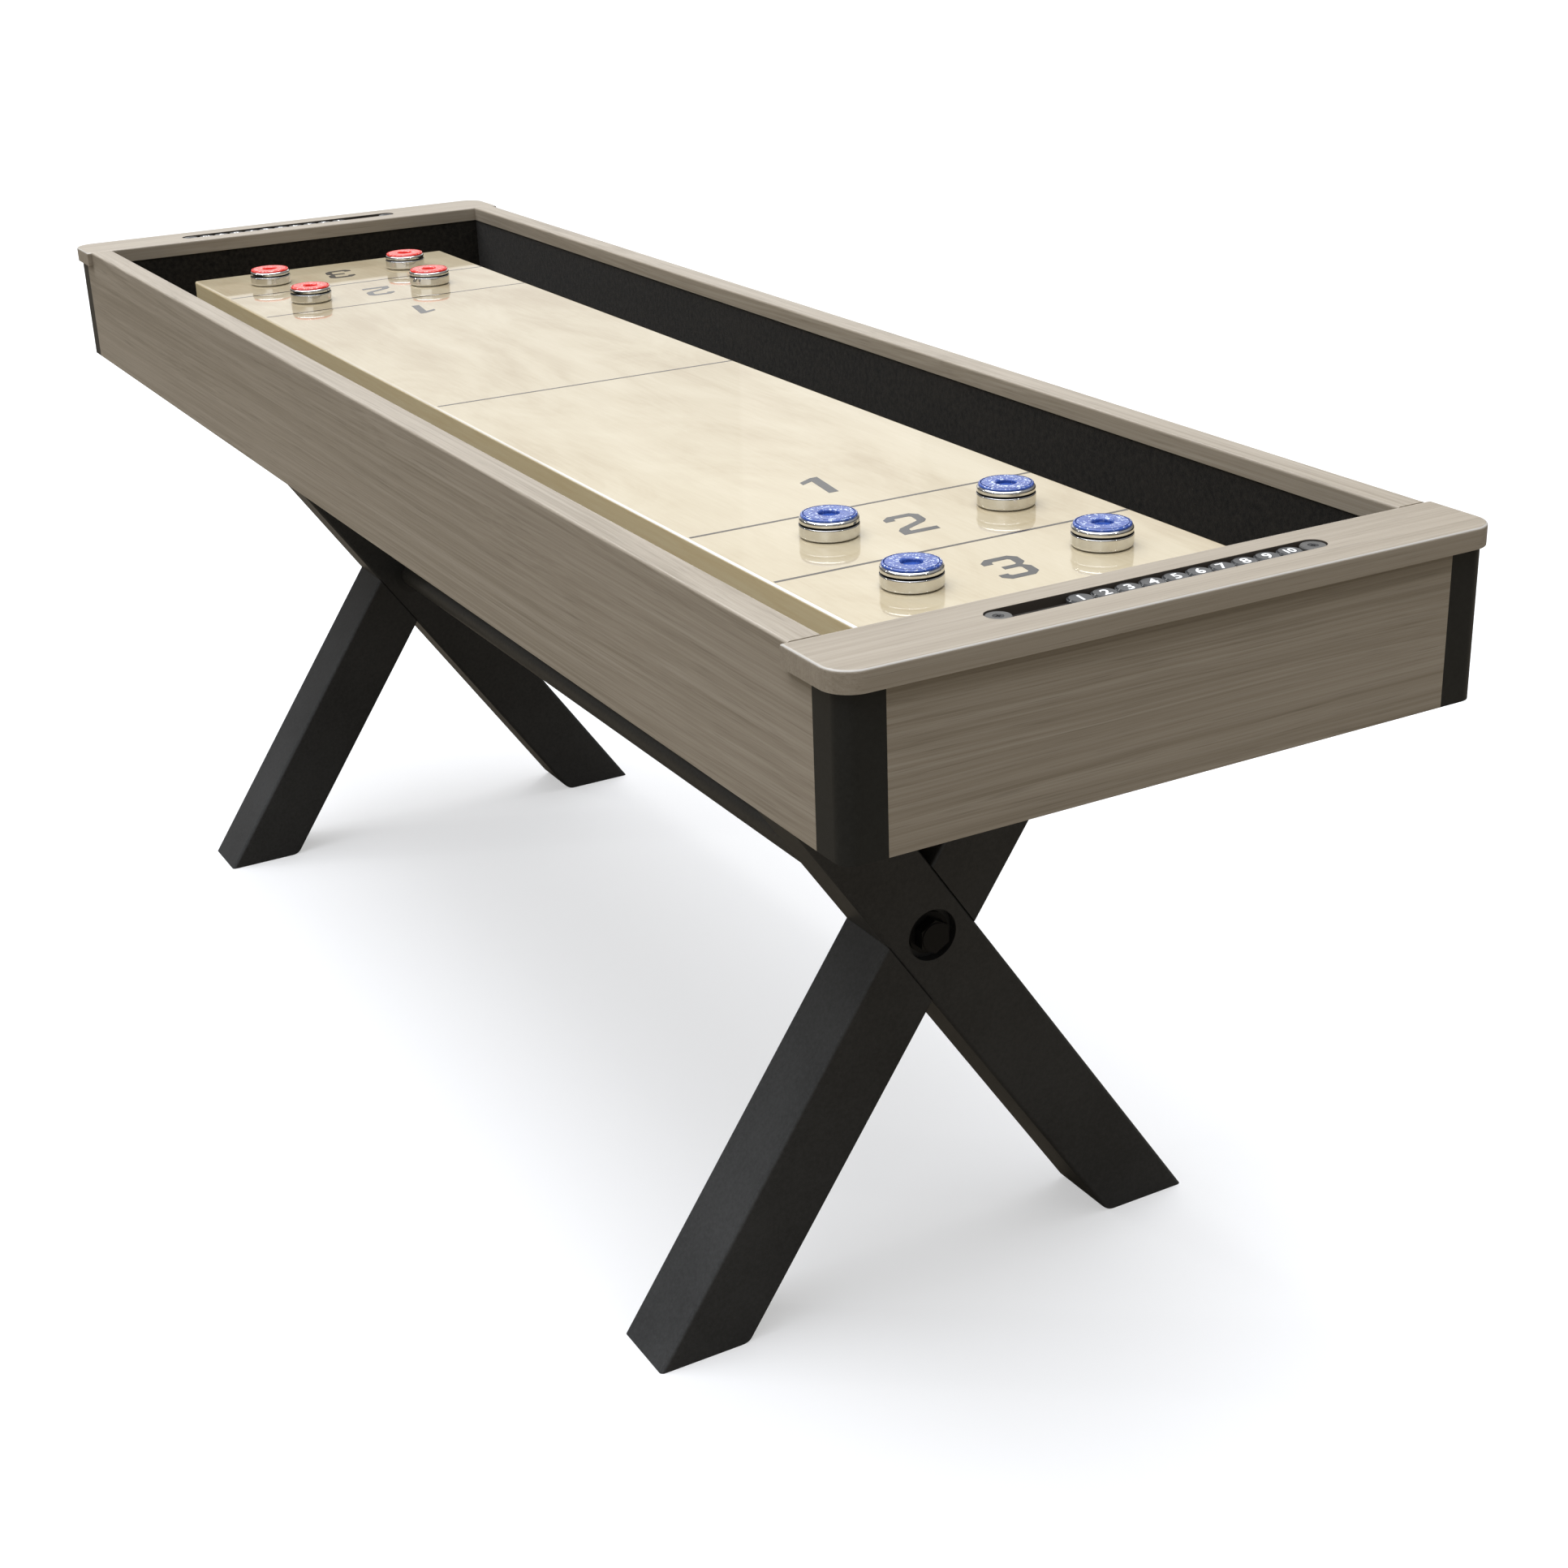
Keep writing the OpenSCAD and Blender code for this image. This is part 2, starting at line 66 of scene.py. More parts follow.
class Graph:
    """A principled material under construction."""

    def __init__(self, name):
        self.material = bpy.data.materials.new(name)
        self.material.use_nodes = True
        self.tree = self.material.node_tree
        self.tree.nodes.clear()
        self.bsdf = self.add("ShaderNodeBsdfPrincipled")
        self.out = self.add("ShaderNodeOutputMaterial")
        self.link(self.bsdf.outputs[0], self.out.inputs["Surface"])
        self.object_coords = self.add("ShaderNodeTexCoord").outputs["Object"]

    def add(self, kind, **settings):
        node = self.tree.nodes.new(kind)
        for key, value in settings.items():
            setattr(node, key, value)
        return node

    def link(self, a, b):
        self.tree.links.new(a, b)

    def put(self, socket, value):
        """Links a socket, or sets a constant. A colour of three numbers gets its alpha."""
        if isinstance(value, bpy.types.NodeSocket):
            self.link(value, socket)
        elif value is not None:
            if isinstance(value, tuple) and len(value) == 3 and len(socket.default_value) == 4:
                value = (*value, 1.0)
            socket.default_value = value

    def set(self, **values):
        """Sets principled inputs by name, with _ for a space."""
        for key, value in values.items():
            self.put(self.bsdf.inputs[key.replace("_", " ")], value)

    def mapped(self, scale=(1, 1, 1), shift=(0, 0, 0), source=None):
        """Coordinates scaled and shifted."""
        node = self.add("ShaderNodeMapping")
        self.link(source or self.object_coords, node.inputs["Vector"])
        node.inputs["Scale"].default_value = scale
        node.inputs["Location"].default_value = shift
        return node.outputs[0]

    def noise(self, vector, scale, detail=3.0, rough=0.5, distort=0.0):
        node = self.add("ShaderNodeTexNoise")
        self.link(vector, node.inputs["Vector"])
        node.inputs["Scale"].default_value = scale
        node.inputs["Detail"].default_value = detail
        node.inputs["Roughness"].default_value = rough
        node.inputs["Distortion"].default_value = distort
        return node.outputs["Fac"]

    def cells(self, vector, scale):
        """Distance to the nearest of a scatter of points."""
        node = self.add("ShaderNodeTexVoronoi")
        self.link(vector, node.inputs["Vector"])
        node.inputs["Scale"].default_value = scale
        return node.outputs["Distance"]

    def ramp(self, fac, stops):
        node = self.add("ShaderNodeValToRGB")
        ends = node.color_ramp.elements
        while len(ends) < len(stops):
            ends.new(0.5)
        for element, (place, colour) in zip(ends, stops):
            element.position = place
            element.color = (*colour, 1.0)
        self.link(fac, node.inputs["Fac"])
        return node.outputs["Color"]

    def level(self, fac, low, high, out_low=0.0, out_high=1.0):
        """A clamped straight-line remap."""
        node = self.add("ShaderNodeMapRange")
        self.put(node.inputs["Value"], fac)
        node.inputs["From Min"].default_value = low
        node.inputs["From Max"].default_value = high
        node.inputs["To Min"].default_value = out_low
        node.inputs["To Max"].default_value = out_high
        return node.outputs["Result"]

    def mix(self, fac, a, b):
        """Colour a where fac is 0, colour b where it is 1."""
        node = self.add("ShaderNodeMix", data_type="RGBA")
        self.put(node.inputs[0], fac)
        self.put(node.inputs[6], a)
        self.put(node.inputs[7], b)
        return node.outputs[2]

    def math(self, operation, a, b=None):
        node = self.add("ShaderNodeMath", operation=operation)
        self.put(node.inputs[0], a)
        self.put(node.inputs[1], b)
        return node.outputs[0]

    def times(self, *values):
        """Product of the values."""
        total = values[0]
        for value in values[1:]:
            total = self.math("MULTIPLY", total, value)
        return total

    def weighted(self, *terms):
        """Sum of the values, each times its weight."""
        total = None
        for value, weight in terms:
            part = self.math("MULTIPLY", value, weight)
            total = part if total is None else self.math("ADD", total, part)
        return total

    def apart(self, value, centre):
        """How far a value is from a centre, either way."""
        return self.math("ABSOLUTE", self.math("SUBTRACT", value, centre))

    def length(self, a, b):
        """Length of the flat vector (a, b)."""
        return self.math("SQRT", self.math("ADD", self.times(a, a), self.times(b, b)))

    def axes(self, vector=None):
        node = self.add("ShaderNodeSeparateXYZ")
        self.link(vector or self.object_coords, node.inputs[0])
        return node.outputs[0], node.outputs[1], node.outputs[2]

    def upward(self):
        """Height of the surface normal: 1 on a top face, 0 on an upright one."""
        return self.axes(self.add("ShaderNodeNewGeometry").outputs["Normal"])[2]

    def along_slot(self):
        """Distance from the middle of the scorer slot, along it."""
        x, y, _ = self.axes()
        return self.apart(self.times(y, self.math("SIGN", x)), SLOT_Y)

    def offset(self, amount, axes):
        """Coordinates pushed along some axes by an amount."""
        shove = self.add("ShaderNodeCombineXYZ")
        for axis in axes:
            self.link(amount, shove.inputs[axis])
        total = self.add("ShaderNodeVectorMath", operation="ADD")
        self.link(self.object_coords, total.inputs[0])
        self.link(shove.outputs[0], total.inputs[1])
        return total.outputs[0]

    def bump(self, height, strength, distance, under=None):
        """Relief on the surface, over another bump where one is given."""
        node = self.add("ShaderNodeBump")
        self.link(height, node.inputs["Height"])
        node.inputs["Strength"].default_value = strength
        node.inputs["Distance"].default_value = distance
        if under is not None:
            self.link(under, node.inputs["Normal"])
        self.link(node.outputs[0], self.bsdf.inputs["Normal"])
        return node.outputs[0]


def scaled(colour, factor):
    return tuple(c * factor for c in colour)


# ---------------------------------------------------------------- materials

WOOD_DARK = (0.250, 0.211, 0.158)
WOOD_MIDDLE = (0.322, 0.276, 0.214)
WOOD_LIGHT = (0.388, 0.340, 0.272)
# near-black painted shade for the sides of the scorer slots
PAINTED_SLOT_SHADE = (0.055, 0.045, 0.036)
# pale painted highlight for the rounded outer top edges of the end caps
PAINTED_EDGE_HIGHLIGHT = (0.48, 0.455, 0.41)
DUST = (0.11, 0.11, 0.108)
LINT = (0.1320, 0.1178, 0.0893)


def laminate(name, grain, contrast, seed, rim=False):
    """Printed wood-grain laminate: fine long streaks that wander round a faint cathedral figure,
    with short dark pores. The scorer slots' sides get a near-black painted shade. grain is "X" or
    "Y".
    rim adds a pale painted highlight along the rounded outer top edges of an end cap."""
    g = Graph(name)
    along_x = grain == "X"
    dark, light = (tuple(m + contrast * (c - m) for c, m in zip(shade, WOOD_MIDDLE))
                   for shade in (WOOD_DARK, WOOD_LIGHT))

    def stretched(along, across, shift, source=None):
        scale = (along, across, across) if along_x else (across, along, across)
        return g.mapped(scale=scale, shift=(seed + shift,) * 3, source=source)

    figure = g.noise(stretched(0.5, 8.0, 3.0), 1.0, detail=1.0, rough=0.4)
    wave = g.noise(stretched(4.0, 25.0, 9.0), 1.0, detail=1.0)
    wander = g.weighted((figure, 0.085), (wave, 0.004))
    bent = g.offset(wander, ("Y", "Z") if along_x else ("X", "Z"))
    bands = g.add("ShaderNodeTexWave", wave_type="BANDS", bands_direction="DIAGONAL",
                  wave_profile="SAW")
    across_only = (0.0, 1.0, 1.0) if along_x else (1.0, 0.0, 1.0)
    g.link(g.mapped(scale=across_only, source=bent), bands.inputs["Vector"])
    bands.inputs["Scale"].default_value = 26.0
    bands.inputs["Distortion"].default_value = 1.6
    bands.inputs["Detail"].default_value = 2.0
    bands.inputs["Detail Scale"].default_value = 3.0
    broad = g.noise(stretched(0.3, 22.0, 3.0, bent), 1.0, detail=1.0, rough=0.5)
    streak = g.noise(stretched(0.6, 110.0, 7.0, bent), 1.0, detail=2.0, rough=0.6)
    fine = g.noise(stretched(1.6, 340.0, 11.0, bent), 1.0, detail=3.0, rough=0.7)
    pores = g.noise(stretched(11.0, 700.0, 17.0, bent), 1.0, detail=2.0, rough=0.6)
    tone = g.weighted((g.level(broad, 0.3, 0.7), 0.12), (bands.outputs["Fac"], 0.08),
                      (g.level(streak, 0.3, 0.7), 0.26), (g.level(fine, 0.32, 0.68), 0.54))
    colour = g.ramp(tone, [(0.14, dark), (0.5, WOOD_MIDDLE), (0.86, light)])
    colour = g.mix(g.level(pores, 0.58, 0.72, 0.0, 0.45), colour, scaled(dark, 0.6))

    x, y, z = g.axes()
    out_x, out_y = g.math("ABSOLUTE", x), g.math("ABSOLUTE", y)
    # the scorer slots' sides, below the top of the cap, take the near-black painted shade
    slot_shade_mask = g.times(g.level(g.apart(out_x, SLOT_X), SLOT_HALF_W + 0.1 * MM, SLOT_HALF_W),
                    g.level(g.along_slot(), SLOT_HALF_L + 0.1 * MM, SLOT_HALF_L),
                    g.level(z, CAP_TOP - 0.35 * MM, CAP_TOP - 0.25 * MM, 1.0, 0.0))
    colour = g.mix(slot_shade_mask, colour, PAINTED_SLOT_SHADE)
    if rim:
        # pale painted highlight where the normal tilts between about 20 and 65 degrees on the
        # outer edges
        up = g.upward()
        highlight_band = g.times(g.level(up, 0.42, 0.55), g.level(up, 0.88, 0.95, 1.0, 0.0))
        outer = g.math("MAXIMUM",
                       g.level(out_x, CAP_OUT.x - 27 * MM, CAP_OUT.x - 25 * MM),
                       g.level(out_y, CAP_OUT.y - 6 * MM, CAP_OUT.y - 4 * MM))
        colour = g.mix(g.times(highlight_band, outer), colour, PAINTED_EDGE_HIGHLIGHT)
    g.set(Base_Color=colour, Roughness=g.level(streak, 0.3, 0.7, 0.36, 0.46), IOR=1.5)
    g.bump(g.weighted((fine, 0.6), (pores, -0.5)), 0.12, 0.0004)
    return g.material


def playfield():
    """Light maple with a soft curl under a clear poured coat. The side faces show the bare,
    browner board, coloured far lighter than the top as painted light. A pale painted highlight,
    patchy and brightest towards the near end, runs along the rounded top corners of the long
    sides."""
    g = Graph("playfield_maple")
    swirl = g.noise(g.mapped(scale=(1.6, 4.0, 1.0)), 1.0, detail=3.0, rough=0.6, distort=0.8)
    cloud = g.noise(g.mapped(scale=(3.5, 9.0, 3.0), shift=(4.0, 1.0, 0.0)), 1.0,
                    detail=4.0, rough=0.62, distort=1.6)
    grain = g.noise(g.mapped(scale=(14.0, 260.0, 260.0)), 1.0, detail=3.0, rough=0.65, distort=0.3)
    fleck = g.noise(g.mapped(scale=(120.0, 620.0, 300.0)), 1.0, detail=2.0)
    tone = g.weighted((g.level(swirl, 0.36, 0.64), 0.42), (g.level(cloud, 0.32, 0.7), 0.38),
                      (g.level(grain, 0.3, 0.7), 0.14), (fleck, 0.06))
    top = g.ramp(tone, [(0.15, (0.412, 0.328, 0.198)),
                        (0.45, (0.495, 0.416, 0.272)),
                        (0.8, (0.556, 0.482, 0.334))])
    # side faces: bare browner board, made far lighter than the top as painted light
    bare_side_painted_light = g.ramp(grain, [(0.3, (0.88, 0.69, 0.38)), (0.7, (0.95, 0.79, 0.48))])
    up = g.upward()
    colour = g.mix(g.level(up, 0.25, 0.85), bare_side_painted_light, top)
    x, y, _ = g.axes()
    # pale painted highlight on the rounded top corners of the long sides, patchy and brightest
    # towards the near end
    coat_edge_highlight = g.times(g.level(up, 0.3, 0.45), g.level(up, 0.88, 0.96, 1.0, 0.0),
                   g.level(g.math("ABSOLUTE", y), TOP.y - 4 * MM, TOP.y - 3 * MM))
    highlight_patches = g.times(g.level(x, -0.5, 0.7, 0.2, 1.0), g.level(swirl, 0.35, 0.5, 0.6, 1.0))
    colour = g.mix(g.times(coat_edge_highlight, highlight_patches), colour, (0.93, 0.92, 0.88))
    g.set(Base_Color=colour, Roughness=0.35, IOR=1.5, Specular_IOR_Level=0.15,
          Coat_Weight=1.0, Coat_Roughness=0.03, Coat_IOR=1.5)
    g.bump(g.noise(g.mapped(), 9.0, detail=1.0), 0.05, 0.002)
    return g.material


def carpet():
    """Short black felt: fuzz, faint pile shading and lint."""
    g = Graph("gutter_carpet")
    pile = g.noise(g.mapped(), 900.0, detail=2.0, rough=0.7)
    tuft = g.noise(g.mapped(), 160.0, detail=3.0, rough=0.6)
    patch = g.noise(g.mapped(scale=(1.0, 3.0, 3.0)), 5.0, detail=3.0, rough=0.6)
    tone = g.weighted((pile, 0.4), (tuft, 0.6))
    colour = g.ramp(tone, [(0.36, (0.0046, 0.0041, 0.0032)), (0.64, (0.0244, 0.0211, 0.0160))])
    colour = g.mix(g.level(patch, 0.35, 0.75, 0.0, 0.35), colour, (0.0290, 0.0242, 0.0179))
    colour = g.mix(g.level(g.cells(g.mapped(), 75.0), 0.02, 0.035, 0.5, 0.0), colour, LINT)
    g.set(Base_Color=colour, Roughness=0.95, Specular_IOR_Level=0.1, Sheen_Weight=0.08,
          Sheen_Roughness=0.5)
    g.bump(tuft, 0.3, 0.0012, under=g.bump(pile, 0.55, 0.0008))
    return g.material


def black_finish(name, base, rough, spec, fleck=0.0, bump=0.05, scale=420.0, bore=0.0):
    """A black lacquer, moulding or powder coat: faint cloudiness, orange peel and dust. Within
    the radius bore about the crossing bolts the counterbore is darkened as painted shade."""
    g = Graph(name)
    cloud = g.noise(g.mapped(), 7.0, detail=4.0, rough=0.6)
    peel = g.noise(g.mapped(), scale, detail=2.0, rough=0.55)
    dust = g.noise(g.mapped(shift=(3.0, 2.0, 1.0)), 38.0, detail=5.0, rough=0.72)
    speckle = g.noise(g.mapped(shift=(7.0, 1.0, 4.0)), 260.0, detail=3.0, rough=0.75)
    tone = g.weighted((cloud, 0.45), (speckle, 0.55))
    colour = g.ramp(tone, [(0.38, scaled(base, 0.8)), (0.62, scaled(base, 1.25))])
    colour = g.mix(g.level(dust, 0.62, 0.86, 0.0, fleck), colour, DUST)
    if bore:
        _, y, z = g.axes()
        low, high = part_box("stretcher_tube")
        radius = g.length(g.math("SUBTRACT", y, (low.y + high.y) / 2),
                          g.math("SUBTRACT", z, (low.z + high.z) / 2))
        # painted shade in the counterbore
        counterbore_shade = g.level(radius, bore, bore + 0.2 * MM, 1.0, 0.0)
        colour = g.mix(counterbore_shade, colour, scaled(base, 0.8))
    g.set(Base_Color=colour, Roughness=g.level(cloud, 0.3, 0.7, rough - 0.04, rough + 0.05),
          Specular_IOR_Level=spec)
    g.bump(peel, bump, 0.0004)
    return g.material


def raw_wood():
    """Unfinished softwood with its grain along X."""
    g = Graph("raw_wood")
    grain = g.noise(g.mapped(scale=(3.0, 40.0, 40.0)), 1.0, detail=5.0, rough=0.6, distort=0.6)
    fine = g.noise(g.mapped(scale=(20.0, 600.0, 600.0)), 1.0, detail=3.0)
    colour = g.ramp(grain, [(0.25, (0.34, 0.22, 0.115)),
                            (0.5, (0.50, 0.36, 0.20)),
                            (0.8, (0.60, 0.46, 0.28))])
    colour = g.mix(g.level(fine, 0.6, 0.8, 0.0, 0.4), colour, (0.25, 0.15, 0.08))
    g.set(Base_Color=colour, Roughness=0.75)
    g.bump(fine, 0.25, 0.0006)
    return g.material


# heights of the near-black band of painted shade and painted reflection round each puck
SHADE_BAND_LOW, SHADE_BAND_HIGH = PUCK_LOW + 11.4 * MM, PUCK_LOW + 13.7 * MM


def chrome():
    """Turned and plated steel: fine rings and soft smudges, and a near-black band of painted shade
    and painted reflection round the recess in the puck's side.
    """
    g = Graph("puck_steel")
    turned = g.noise(g.mapped(scale=(40.0, 40.0, 2600.0)), 1.0, detail=2.0)
    smudge = g.noise(g.mapped(), 60.0, detail=4.0, rough=0.65)
    rough = g.math("ADD", g.level(smudge, 0.35, 0.75, 0.03, 0.16), g.times(turned, 0.02))
    colour = g.ramp(smudge, [(0.3, (0.80, 0.80, 0.79)), (0.8, (0.66, 0.655, 0.64))])
    z = g.axes()[2]
    # painted shade and reflection: the band is black and not metallic
    groove_shade = g.times(g.level(z, SHADE_BAND_LOW, SHADE_BAND_LOW + 0.1 * MM),
                     g.level(z, SHADE_BAND_HIGH, SHADE_BAND_HIGH - 0.1 * MM))
    g.set(Base_Color=g.mix(groove_shade, colour, (0.006, 0.006, 0.006)),
          Metallic=g.math("SUBTRACT", 1.0, groove_shade),
          Roughness=g.math("MAXIMUM", rough, g.times(groove_shade, 0.45)))
    g.bump(turned, 0.03, 0.0002)
    return g.material


def puck_plastic(name, base, deep, streak):
    """Marbled puck cap: pale flakes on the flat top round the dish; in the dish and down the
    rounded rim the flakes thin out as painted shade, so the dish reads plain and deeper.
    """
    g = Graph(name)
    swirl = g.noise(g.mapped(), 110.0, detail=4.0, rough=0.62, distort=1.6)
    flake = g.noise(g.mapped(shift=(1.0, 5.0, 2.0)), 310.0, detail=2.0, rough=0.6, distort=1.1)
    colour = g.ramp(swirl, [(0.3, deep), (0.6, base)])
    # below the flat top the flakes thin out as painted shade
    unshaded_flat_top = g.level(g.axes()[2], PUCK_TOP - 1.1 * MM, PUCK_TOP - 0.2 * MM, 0.15, 1.0)
    flakes = g.math("MAXIMUM", g.level(flake, 0.585, 0.63), g.level(swirl, 0.63, 0.72, 0.0, 0.6))
    colour = g.mix(g.times(flakes, unshaded_flat_top), colour, streak)
    g.set(Base_Color=colour, Roughness=0.25, Coat_Weight=0.5, Coat_Roughness=0.05)
    g.bump(g.cells(g.mapped(), 640.0), 0.05, 0.0003)
    return g.material


def retainer():
    """Grey moulded stop with a dark plated screw in its middle."""
    disc_r = 10.8 * MM
    screw_r = 4.3 * MM
    g = Graph("retainer_grey")
    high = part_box("scorer_retainers")[1]
    dx = g.math("SUBTRACT", g.math("ABSOLUTE", g.axes()[0]), high.x - disc_r)
    dy = g.math("SUBTRACT", g.along_slot(), high.y - disc_r - SLOT_Y)
    screw = g.level(g.length(dx, dy), screw_r, screw_r + 0.4 * MM, 1.0, 0.0)
    tone = g.noise(g.mapped(), 90.0, detail=4.0)
    grey = g.ramp(tone, [(0.3, (0.082, 0.080, 0.074)), (0.7, (0.115, 0.112, 0.104))])
    g.set(Base_Color=g.mix(screw, grey, (0.055, 0.055, 0.055)), Roughness=0.45,
          Metallic=g.times(screw, 0.6))
    g.bump(g.noise(g.mapped(), 1200.0), 0.06, 0.0002)
    return g.material


def slider_plastic():
    """Dark grey moulding with a soft sheen."""
    g = Graph("slider_grey")
    tone = g.noise(g.mapped(), 70.0, detail=4.0)
    colour = g.ramp(tone, [(0.3, (0.032, 0.033, 0.034)), (0.7, (0.052, 0.053, 0.054))])
    g.set(Base_Color=colour, Roughness=g.level(tone, 0.3, 0.7, 0.24, 0.36),
          Coat_Weight=0.25, Coat_Roughness=0.1)
    g.bump(g.noise(g.mapped(), 800.0), 0.03, 0.0002)
    return g.material


def ink(name, colour, rough, coat):
    """Screen-printed ink: not quite even."""
    g = Graph(name)
    tone = g.noise(g.mapped(), 240.0, detail=4.0, rough=0.65)
    g.set(Base_Color=g.ramp(tone, [(0.3, scaled(colour, 0.86)), (0.7, scaled(colour, 1.12))]),
          Roughness=rough, Specular_IOR_Level=0.15, Coat_Weight=coat, Coat_Roughness=0.03)
    g.bump(tone, 0.02, 0.0002)
    return g.material


MATERIALS = {
    "playfield_maple": playfield(),
    "gutter_carpet": carpet(),
    "raw_wood": raw_wood(),
    "post_black": black_finish("post_black", (0.0135, 0.0140, 0.0126), 0.40, 0.30, fleck=0.04),
    "leg_black": black_finish("leg_black", (0.0440, 0.0450, 0.0453), 0.38, 0.30, fleck=0.04,
                              bore=26.1 * MM),
    "tube_black": black_finish("tube_black", (0.058, 0.057, 0.052), 0.42, 0.45, bump=0.12,
                               scale=900.0),
    "bolt_black": black_finish("bolt_black", (0.0055, 0.0055, 0.0056), 0.45, 0.25),
    "scorer_black": black_finish("scorer_black", (0.028, 0.024, 0.020), 0.42, 0.3),
    "retainer_grey": retainer(),
    "slider_grey": slider_plastic(),
    "puck_steel": chrome(),
    "cap_blue": puck_plastic("cap_blue", (0.028, 0.082, 0.36), (0.018, 0.055, 0.27),
                             (0.66, 0.74, 0.88)),
    "cap_red": puck_plastic("cap_red", (0.80, 0.024, 0.012), (0.66, 0.014, 0.008),
                            (0.92, 0.50, 0.44)),
}
WOOD_X = laminate("cabinet_laminate_long", "X", 1.0, 0.0)
WOOD_Y = laminate("cabinet_laminate_cross", "Y", 1.0, 5.0)
WOOD_CAP = laminate("rail_laminate_cross", "Y", 0.62, 5.0, rim=True)
SLOT_OF = {entry["node"]: entry["material_slot"] for entry in frame["record"]["subparts"]}


def material_for(node):
    """The laminate's grain runs along the piece; every other slot has one material."""
    if SLOT_OF[node] not in ("cabinet_laminate", "rail_laminate"):
        return MATERIALS[SLOT_OF[node]]
    if node.startswith("end_cap"):
        return WOOD_CAP
    return WOOD_Y if node.startswith("end_panel") else WOOD_X


for name, obj in NODES.items():
    obj.data.materials.clear()
    obj.data.materials.append(material_for(name))


# ---------------------------------------------------------------- printed marks

INK_T = 0.08 * MM
INK_GAP = 0.01 * MM
INK_DARK = ink("zone_ink", (0.024, 0.023, 0.022), 0.45, 1.0)
INK_LINE = ink("line_ink", (0.034, 0.025, 0.017), 0.45, 1.0)
INK_WHITE = ink("slider_ink", (0.80, 0.80, 0.78), 0.35, 0.0)

# zone lines and zone numbers, as distances from the middle of the board
LINE_W = 3.8 * MM
LINE_X = (0.748, 0.5955)
LINE_HALF_L = TOP.y - 3.2 * MM
DIGIT_X = {"1": 0.517, "2": 0.671, "3": 0.826}

# outlines of the zone numbers in mm, in a box DIGIT_W by DIGIT_H, slanted when they are drawn
DIGIT_W, DIGIT_H = 37.0, 55.0
SLANT = math.tan(math.radians(8.5))
DIGIT_OUTLINES = {
    "1": [(14, 0), (24.5, 0), (24.5, 55), (17, 55), (2, 46), (2, 37.5), (14, 43.5)],
    "2": [(0, 0), (0, 13), (4, 19), (27, 31), (28, 33), (28, 44.5), (26, 46.5), (12, 46.5),
          (10, 44.5), (10, 41), (0, 41), (0, 48), (7, 55), (30, 55), (37, 48), (37, 31),
          (33, 25.5), (12, 14.5), (10.5, 12.5), (10.5, 8.5), (37, 8.5), (37, 0)],
    "3": [(0, 7), (0, 14), (9.5, 14), (9.5, 10.5), (11.5, 8.5), (26, 8.5), (28, 10.5), (28, 22),
          (26, 24), (12, 24), (12, 31.5), (26, 31.5), (28, 33.5), (28, 44.5), (26, 46.5),
          (11.5, 46.5), (9.5, 44.5), (9.5, 41), (0, 41), (0, 48), (7, 55), (30, 55), (37, 48),
          (37, 34), (31.5, 27.75), (37, 21.5), (37, 7), (30, 0), (7, 0)],
}

# numbers on the sliders
NUMBER_SIZE = {1: 0.0158, 2: 0.0130}
NUMBER_SPACING = {1: 1.0, 2: 0.86}
NUMBER_SWELL = 0.00032
NUMBER_SHEAR = 0.12


def plate(name, outlines, place, thick, material, body):
    """Flat closed solids from outlines in the plane, put in place by a matrix."""
    mesh = bmesh.new()
    for outline in outlines:
        face = mesh.faces.new([mesh.verts.new((x, y, 0.0)) for x, y in outline])
        face.normal_update()
        if face.normal.z < 0:
            face.normal_flip()
        grown = bmesh.ops.extrude_face_region(mesh, geom=[face])
        moved = [v for v in grown["geom"] if isinstance(v, bmesh.types.BMVert)]
        bmesh.ops.translate(mesh, verts=moved, vec=(0, 0, thick))
    bmesh.ops.recalc_face_normals(mesh, faces=mesh.faces)
    mesh.transform(place)
    data = bpy.data.meshes.new(name)
    mesh.to_mesh(data)
    mesh.free()
    piece = bpy.data.objects.new(name, data)
    bpy.context.scene.collection.objects.link(piece)
    data.materials.append(material)
    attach(piece, body)


def facing(end):
    """Marks are read from the near end (1) or the far end (-1): right is +y or -y, and up the
    mark is -x or +x."""
    turn = Matrix(((0, -1, 0, 0), (1, 0, 0, 0), (0, 0, 1, 0), (0, 0, 0, 1)))
    return (Matrix.Rotation(math.pi, 4, "Z") if end < 0 else Matrix.Identity(4)) @ turn


def slanted(outline):
    """An outline in mm made upright about its middle, leaning, in metres."""
    return [((x - DIGIT_W / 2 + (y - DIGIT_H / 2) * SLANT) * MM, (y - DIGIT_H / 2) * MM)
            for x, y in outline]


def zone_marks():
    """The lines across the board and the numbers 1 to 3 at each end, as thin solids."""
    half_w = LINE_W / 2
    lines = [s * x for s in (-1, 1) for x in LINE_X] + [0.0]
    strips = [[(x - half_w, -LINE_HALF_L), (x + half_w, -LINE_HALF_L),
               (x + half_w, LINE_HALF_L), (x - half_w, LINE_HALF_L)] for x in lines]
    plate("zone_lines", strips, Matrix.Translation((0, 0, TOP.z + INK_GAP)), INK_T, INK_LINE,
          "table")
    for end, word in ((1, "near"), (-1, "far")):
        for digit, x in DIGIT_X.items():
            place = Matrix.Translation((end * x, 0, TOP.z + INK_GAP)) @ facing(end)
            plate("zone_%s_%s" % (digit, word), [slanted(DIGIT_OUTLINES[digit])], place, INK_T,
                  INK_DARK, "table")


